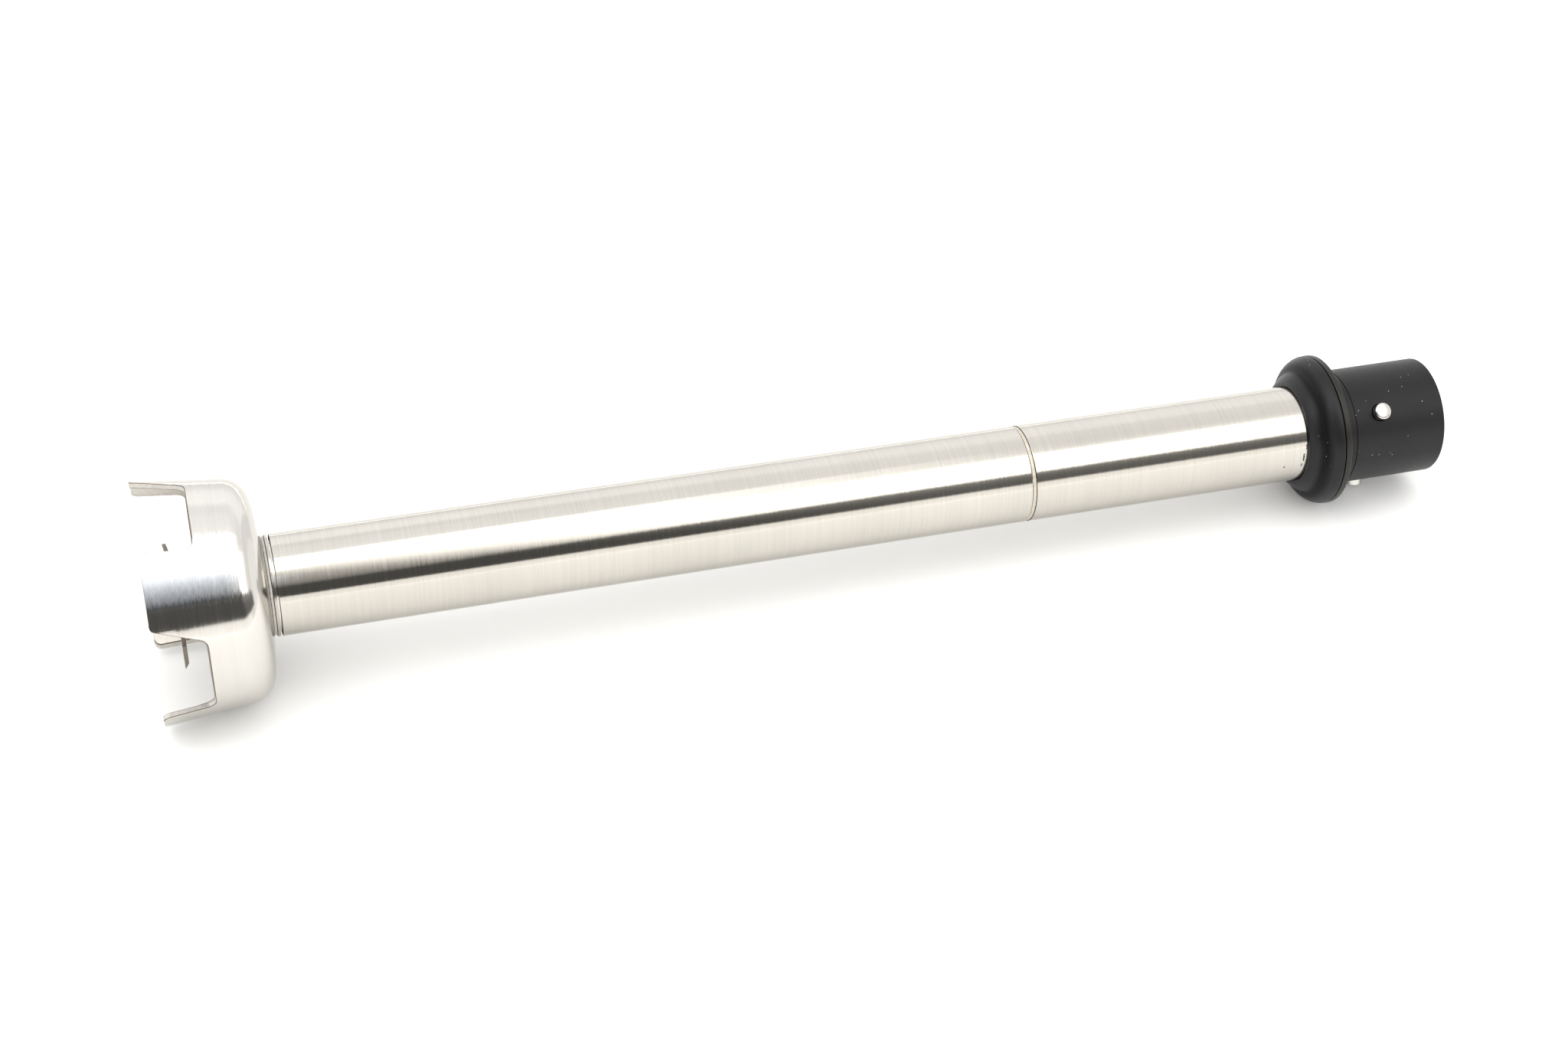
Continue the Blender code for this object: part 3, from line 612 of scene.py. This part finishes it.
for name, ends, finish, node in (("lower_tube_brushed", (0.0, 243.65), tube_steel, "lower_tube"),
                                 ("upper_tube_brushed", (245.05, 361.5), marked_steel, "upper_tube")):
    tube = turned(name, tube_outline(*ends), finish, "foot")
    # painted shade on the tube's end faces
    paint_faces(tube, gap_shade_steel, lambda s, r, lean: abs(lean) > 0.6)
    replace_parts(tube, node)
profile = rounded([(234.4, 12.0), (234.4, 14.2), (243.75, 14.2), (243.75, 15.8, 0.2), (245.0, 15.8, 0.2),
                   (245.0, 14.2), (254.4, 14.2), (254.4, 12.0)])
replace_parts(turned("tube_joint_band", profile, band_steel, "foot"), "tube_joint_ring")


# ---------------------------------------------------------------- boot and coupling


def make_boot():
    """Thin lip on the tube, soft roll, valley, crest and the lip of the flange."""
    profile = [(350.9, 16.2), (341.8, 16.2)]
    profile += rounded([(341.8, 16.2), (341.75, 17.1, 0.25), (342.1, 17.75)])[1:]
    profile += [(342.8, 18.6), (343.6, 19.35), (344.3, 19.85), (344.9, 20.15), (345.35, 20.42)]
    profile += [(345.65, 20.8), (345.87, 21.4), (346.15, 22.1), (346.6, 22.95), (347.3, 23.75)]
    profile += [(348.2, 24.45), (349.2, 24.95), (350.2, 25.25), (350.75, 25.28), (350.9, 25.1)]
    boot = turned("rubber_boot_flared", profile, fold_shaded_rubber, "foot", sharp=60.0)
    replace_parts(boot, "rubber_boot")


make_boot()
profile = rounded([(351.2, 16.3), (351.2, 25.35, 0.35), (353.3, 25.35, 0.45), (353.3, 20.3, 0.1),
                   (353.1, 20.2), (353.1, 16.3)])
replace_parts(turned("flange_disc_turned", profile, disc_plastic, "foot"), "flange_disc")


def cross_bar(station, angle, radius, depths, material):
    """Round bar across the axis, for cutting holes."""
    shape = prism_shape(disc_outline(radius), (1.0, 0.0, 0.0), tangent(angle), radial(angle), depths)
    for vertex in shape.verts:
        vertex.co.x += station * MM
    return piece("hole", shape, material, None, weighted=False)


def pin_angle(number):
    return PIN_ROLL + number * 2.0 * math.pi / PINS


def with_pin_holes(name, profile, material, node):
    """Turned piece of the coupling with the three holes for the bayonet pins."""
    item = turned(name, profile, material, None)
    item.modifiers.clear()
    cut(item, [cross_bar(PIN_S, pin_angle(i), PIN_HOLE_R, PIN_HOLE_DEPTHS, material) for i in range(PINS)])
    keep_shading_even(item)
    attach(item, "foot")
    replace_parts(item, node)


profile = rounded([(353.6, 16.4), (353.6, 19.33, 0.25), (358.05, 19.33, 0.05), (358.15, 19.08),
                   (358.25, 19.08), (358.35, 19.33, 0.05), (390.7, 19.33, 0.7), (390.7, 16.4, 0.45)])
with_pin_holes("coupling_sleeve_matte", profile, plastic, "coupling_sleeve")
profile = rounded([(362.0, 4.6), (362.0, 16.15, 0.3), (375.0, 16.15, 0.3), (375.0, 11.15, 0.4),
                   (373.4, 11.15), (373.4, 12.1), (372.1, 12.1), (372.1, 11.15), (364.4, 11.15),
                   (364.4, 4.6)])
with_pin_holes("coupling_core_turned", profile, ring_steel, "coupling_core")


def make_pins():
    """Bayonet pins: round bars with a softly domed, bright head."""
    steps = [(13.2, 2.8), (21.6, 2.8), (21.95, 2.74), (22.15, 2.55), (22.25, 2.2), (22.3, 1.2), (22.3, 0.4)]
    for number in range(PINS):
        angle = pin_angle(number)
        shape = bmesh.new()
        rings = []
        for height, radius in steps:
            ring = []
            for i in range(PIN_SIDES):
                turn = 2.0 * math.pi * i / PIN_SIDES
                across = tangent(angle) * radius * math.sin(turn)
                along = Vector((PIN_S + radius * math.cos(turn), 0.0, 0.0))
                ring.append(shape.verts.new((radial(angle) * height + across + along) * MM))
            rings.append(ring)
        for near, far in zip(rings, rings[1:]):
            for i in range(PIN_SIDES):
                j = (i + 1) % PIN_SIDES
                shape.faces.new((near[i], near[j], far[j], far[i]))
        shape.faces.new(rings[0])
        shape.faces.new(reversed(rings[-1]))
        pin = piece(f"bayonet_pin_domed_{number + 1}", shape, pin_steel, "foot")
        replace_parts(pin, f"bayonet_pin_{number + 1}")


make_pins()


# ---------------------------------------------------------------- blade and its fixings


def make_blade():
    """Two-winged blade: one flat sharpened wing, one hooked wing bent to the mouth."""
    shape = bmesh.new()
    out = radial(BLADE_ROLL)
    side = -tangent(BLADE_ROLL)
    loops = []
    for along, lead, trail, grind in BLADE_SECTIONS:
        front = BLADE_FACE_S - max(0.0, -along - BEND_START) * BEND_SLOPE
        back = front + BLADE_THICKNESS
        loop = []
        for across, station in ((-trail, front), (lead, front), (lead - grind, back), (-trail, back)):
            loop.append(shape.verts.new((Vector((station, 0, 0)) + out * along + side * across) * MM))
        loops.append(loop)
    for near, far in zip(loops, loops[1:]):
        for k in range(4):
            m = (k + 1) % 4
            shape.faces.new((near[k], near[m], far[m], far[k]))
    shape.faces.new(loops[0])
    shape.faces.new(reversed(loops[-1]))
    blade = piece("blade_ground", shape, blade_steel, None, weighted=False)
    outline = disc_outline(BOLT_HOLE_R, 32)
    hole = prism_shape(outline, radial(0.0), tangent(0.0), (1.0, 0.0, 0.0), (-33.5, -26.5))
    cut(blade, [piece("hole", hole, blade_steel, None, weighted=False)])
    bevel(blade, 0.12)
    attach(blade, "rotor")
    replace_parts(blade, "blade")


make_blade()
profile = rounded([(-28.75, BOLT_HOLE_R), (-28.75, 7.2, 0.4), (-21.6, 7.2, 0.5), (-21.6, 9.4, 0.3),
                   (-20.4, 9.4, 0.3), (-20.4, 4.2), (-28.3, 4.2), (-28.3, BOLT_HOLE_R)])
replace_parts(turned("blade_collar_turned", profile, inner_steel, "rotor", SMALL), "blade_collar")
profile = rounded([(-31.25, BOLT_HOLE_R), (-31.25, 6.4, 0.2), (-30.65, 6.4, 0.1), (-30.65, BOLT_HOLE_R)])
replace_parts(turned("blade_washer_turned", profile, inner_steel, "rotor", SMALL), "blade_washer")
profile = [(-36.0, 0.0), (-36.0, 2.8), (-31.5, 2.8), (-31.5, 5.2), (-31.9, 5.9), (-34.2, 5.9)]
profile += rounded([(-34.2, 5.9), (-34.6, 5.0, 0.3), (-34.9, 4.5, 0.2), (-36.2, 4.1, 1.0),
                    (-37.3, 2.9, 1.0), (-37.8, 1.4, 0.8), (-37.9, 0.0)])[1:]
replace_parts(turned("blade_nut_domed", profile, inner_steel, "rotor", SMALL, 10.0), "blade_nut")


def make_coupler():
    """Dog coupler with four jaws, their edges softly broken."""
    profile = rounded([(387.5, 0.0), (387.5, 7.5, 0.5), (376.5, 7.5, 0.4), (376.5, 4.2), (381.0, 4.2),
                       (381.0, 0.0)])
    coupler = turned("drive_coupler_jaws", profile, inner_steel, None, SMALL)
    coupler.modifiers.clear()
    reach = 12.0
    roll = BLADE_ROLL + math.pi / 4.0
    cutters = [cross_bar(CROSS_PIN_S, roll, CROSS_HOLE_R, (-reach, reach), inner_steel)]
    for angle in (BLADE_ROLL, BLADE_ROLL + math.pi / 2.0):
        outline = [(-JAW_SLOT_HALF, -reach), (JAW_SLOT_HALF, -reach), (JAW_SLOT_HALF, reach),
                   (-JAW_SLOT_HALF, reach)]
        slot = prism_shape(outline, radial(angle), tangent(angle), (1.0, 0.0, 0.0), (382.9, 390.5))
        cutters.append(piece("slot", slot, inner_steel, None, weighted=False))
    cut(coupler, cutters)
    bevel(coupler, 0.2)
    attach(coupler, "rotor")
    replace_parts(coupler, "drive_coupler")


make_coupler()


# ---------------------------------------------------------------- finishes of the carried-over pieces

FINISHES = {
    "brushed_steel": inner_steel,
    "polished_steel": inner_steel,
    "black_rubber": rubber,
    "bronze": bronze,
    "white_ptfe": ptfe,
}
for entry in frame["record"]["subparts"]:
    node = frame["nodes"][entry["node"]]
    finish = FINISHES.get(entry["material_slot"])
    if finish is not None:
        node.data.materials.clear()
        node.data.materials.append(finish)


# ---------------------------------------------------------------- studio


PAPER = (0.78, 0.78, 0.77)
REFLECTED = 1.55               # strength of what the steel mirrors
FILLED = 1.27                  # strength of what lights the paper
TENT_R = 950.0
CURVE_TOP = 4.0                # brightness at the top of a ramp's curve
# changes of the mirrored tones: along the foot in metres, round it as a share of half a turn
SLANT_FROM = 0.278
SLANT = 1.26
NEAR_CHANGE = (0.093, 0.293)
FAR_CHANGE = (0.15, 0.60)
NEAR_TO_FAR = (0.36, 0.39)
PAST_THE_END = (0.70, 1.0, 1.9, 0.74)
CARD_R = 80.0
CARD_STATIONS = (-60.0, -20.0, 0.5)
CARD_START = 33.5              # degrees round the axis
CARD_TURN = 21.5


def make_floor():
    """White paper under the foot."""
    shape = bmesh.new()
    bmesh.ops.create_grid(shape, x_segments=8, y_segments=8, size=4.0)
    floor = piece("studio_floor", shape, None, None, weighted=False)
    floor.matrix_world = Matrix.Identity(4)
    p = Paint("studio_paper", PAPER, 0.9)
    p.base(p.mix(p.noise(35.0, 3.0), (0.775, 0.775, 0.767), (0.785, 0.785, 0.777)))
    p.shader.inputs["Specular IOR Level"].default_value = 0.1
    floor.data.materials.clear()
    floor.data.materials.append(p.material)


def ramp(p, value, stops):
    """Brightness by angle: stops are (degrees, brightness)."""
    made = p.node("ShaderNodeFloatCurve")
    p.link(value, made.inputs["Value"])
    curve = made.mapping.curves[0]
    made.mapping.clip_max_y = CURVE_TOP
    made.mapping.use_clip = False
    points = [(degrees / 180.0, level / CURVE_TOP) for degrees, level in stops]
    curve.points[0].location = points[0]
    curve.points[1].location = points[-1]
    for x, y in points[1:-1]:
        curve.points.new(x, y)
    for point in curve.points:
        point.handle_type = "VECTOR"
    made.mapping.update()
    return p.maths("MULTIPLY", made.outputs["Value"], CURVE_TOP)


def strips(shape, rows):
    """Faces between neighbouring rows of vertices."""
    for near, far in zip(rows, rows[1:]):
        for k in range(len(near) - 1):
            shape.faces.new((near[k], near[k + 1], far[k + 1], far[k]))


def half_tube(name, material):
    """Half tube over the table, round the foot's axis, open at its ends."""
    shape = bmesh.new()
    rows = []
    steps = 36
    for i in range(steps + 1):
        angle = math.radians(-2.0 + 184.0 * i / steps)
        rows.append([shape.verts.new(at(station, TENT_R, angle)) for station in range(-1600, 1801, 200)])
    strips(shape, rows)
    tent = piece(name, shape, material, None, weighted=False)
    tent.matrix_world = Matrix.Translation(RING_POINT)
    tent.visible_camera = False
    return tent


def glowing(name):
    """Light-giving material, with its own X and its angle round the axis as a share of half a turn."""
    p = Paint(name, (0.0, 0.0, 0.0), 1.0)
    x, y, z = p.axes()
    share = p.maths("DIVIDE", angle_round_axis(p, y, z), math.pi)
    glow = p.node("ShaderNodeEmission")
    p.link(glow.outputs["Emission"], p.tree.nodes["Material Output"].inputs["Surface"])
    return p, x, share, glow


def mix_numbers(p, factor, first, second):
    made = p.node("ShaderNodeMix", data_type="FLOAT")
    p.link(factor, made.inputs["Factor"])
    p.link(first, made.inputs["A"])
    p.link(second, made.inputs["B"])
    return made.outputs["Result"]


def make_reflected_tent():
    """What the steel mirrors: a dark gap near the table, a soft box above it, pale cloth behind.

    The mirrored tones change from the bell's end to the coupling's end.  On the near side the
    change starts nearer the bell the higher up it lies.
    """
    p, along, share, glow = glowing("reflected_light")
    near_ramp = ramp(p, share, ((0, 1.02), (6, 0.96), (8.5, 0.82), (10, 0.13), (12, 0.070), (30, 0.072),
                                (33, 0.15), (35, 0.22), (39, 0.28), (45, 0.35), (51, 0.38), (57, 0.41),
                                (63, 0.45), (66, 0.54), (68, 1.8), (96, 1.8), (100, 1.0), (110, 0.93),
                                (120, 0.91), (128, 0.85), (134, 0.87), (140, 1.02), (157, 0.99), (168, 0.86),
                                (180, 0.76)))
    far_ramp = ramp(p, share, ((0, 1.02), (7, 0.96), (9, 0.82), (11, 0.15), (14, 0.115), (24, 0.15),
                               (30, 0.22), (32, 0.27), (34, 0.62), (36, 1.45), (40, 1.8), (76, 1.8),
                               (80, 1.05), (86, 0.86), (95, 0.79), (112, 0.82), (124, 0.84), (132, 0.94),
                               (145, 0.96), (160, 0.93), (170, 0.84), (180, 0.76)))
    lean = p.maths("MULTIPLY", p.maths("SUBTRACT", share, SLANT_FROM), SLANT)
    low_side = p.spread(p.maths("ADD", along, lean), *NEAR_CHANGE)
    high_side = p.spread(along, *FAR_CHANGE)
    is_high = p.spread(share, *NEAR_TO_FAR)
    light = mix_numbers(p, mix_numbers(p, is_high, low_side, high_side), near_ramp, far_ramp)
    beyond = p.spread(along, *PAST_THE_END)
    inside = p.maths("MINIMUM", light, beyond)
    p.link(p.maths("MULTIPLY", inside, REFLECTED), glow.inputs["Strength"])
    p.link(p.mix(p.spread(share, 0.30, 0.60), (1.0, 0.985, 0.955), (0.99, 0.99, 1.0)), glow.inputs["Color"])
    half_tube("reflected_tent", p.material).visible_diffuse = False


def make_fill_tent():
    """What lights the paper: mostly the soft box overhead, with pale cloth all round."""
    p, _, share, glow = glowing("fill_light")
    level = ramp(p, share, ((0, 2.5), (45, 2.1), (60, 1.6), (68, 2.2), (98, 2.2), (106, 1.4), (180, 1.25)))
    p.link(p.maths("MULTIPLY", level, FILLED), glow.inputs["Strength"])
    glow.inputs["Color"].default_value = (1.0, 0.995, 0.985, 1.0)
    half_tube("fill_tent", p.material).visible_glossy = False


def make_card():
    """Small cool card that lights a soft step along the front of the bell, seen only in reflections."""
    p, _, share, glow = glowing("card_light")
    glow.inputs["Color"].default_value = (0.93, 1.0, 1.12, 1.0)
    p.link(ramp(p, share, ((33.5, 0.09), (35, 0.16), (37, 0.32), (38.7, 0.46), (43.4, 0.74),
                           (48, 1.12), (52.7, 1.65), (56, 1.9))), glow.inputs["Strength"])
    shape = bmesh.new()
    rows = []
    for i in range(13):
        angle = math.radians(CARD_START + CARD_TURN * i / 12.0)
        rows.append([shape.verts.new(at(station, CARD_R, angle)) for station in CARD_STATIONS])
    strips(shape, rows)
    card = piece("cool_card", shape, p.material, None, weighted=False)
    card.visible_camera = False
    card.visible_diffuse = False
    card.visible_shadow = False


def make_world():
    world = bpy.data.worlds.new("studio_white")
    world.use_nodes = True
    bpy.context.scene.world = world
    background = world.node_tree.nodes["Background"]
    background.inputs["Color"].default_value = (1.0, 1.0, 1.0, 1.0)
    background.inputs["Strength"].default_value = 1.3


def make_camera():
    camera = bpy.data.objects.new("photo_camera", bpy.data.cameras.new("photo_camera"))
    bpy.context.scene.collection.objects.link(camera)
    camera.data.lens = 58.17
    camera.data.sensor_width = 36.0
    camera.data.clip_start = 0.01
    camera.data.clip_end = 50.0
    camera.location = (-0.18799, -0.62366, 0.53639)
    camera.rotation_euler = (math.radians(90.0 - 38.2816), 0.0, math.radians(-15.7564))
    bpy.context.scene.camera = camera


make_floor()
make_reflected_tent()
make_fill_tent()
make_card()
make_world()
make_camera()
bpy.context.scene.view_settings.view_transform = "Standard"
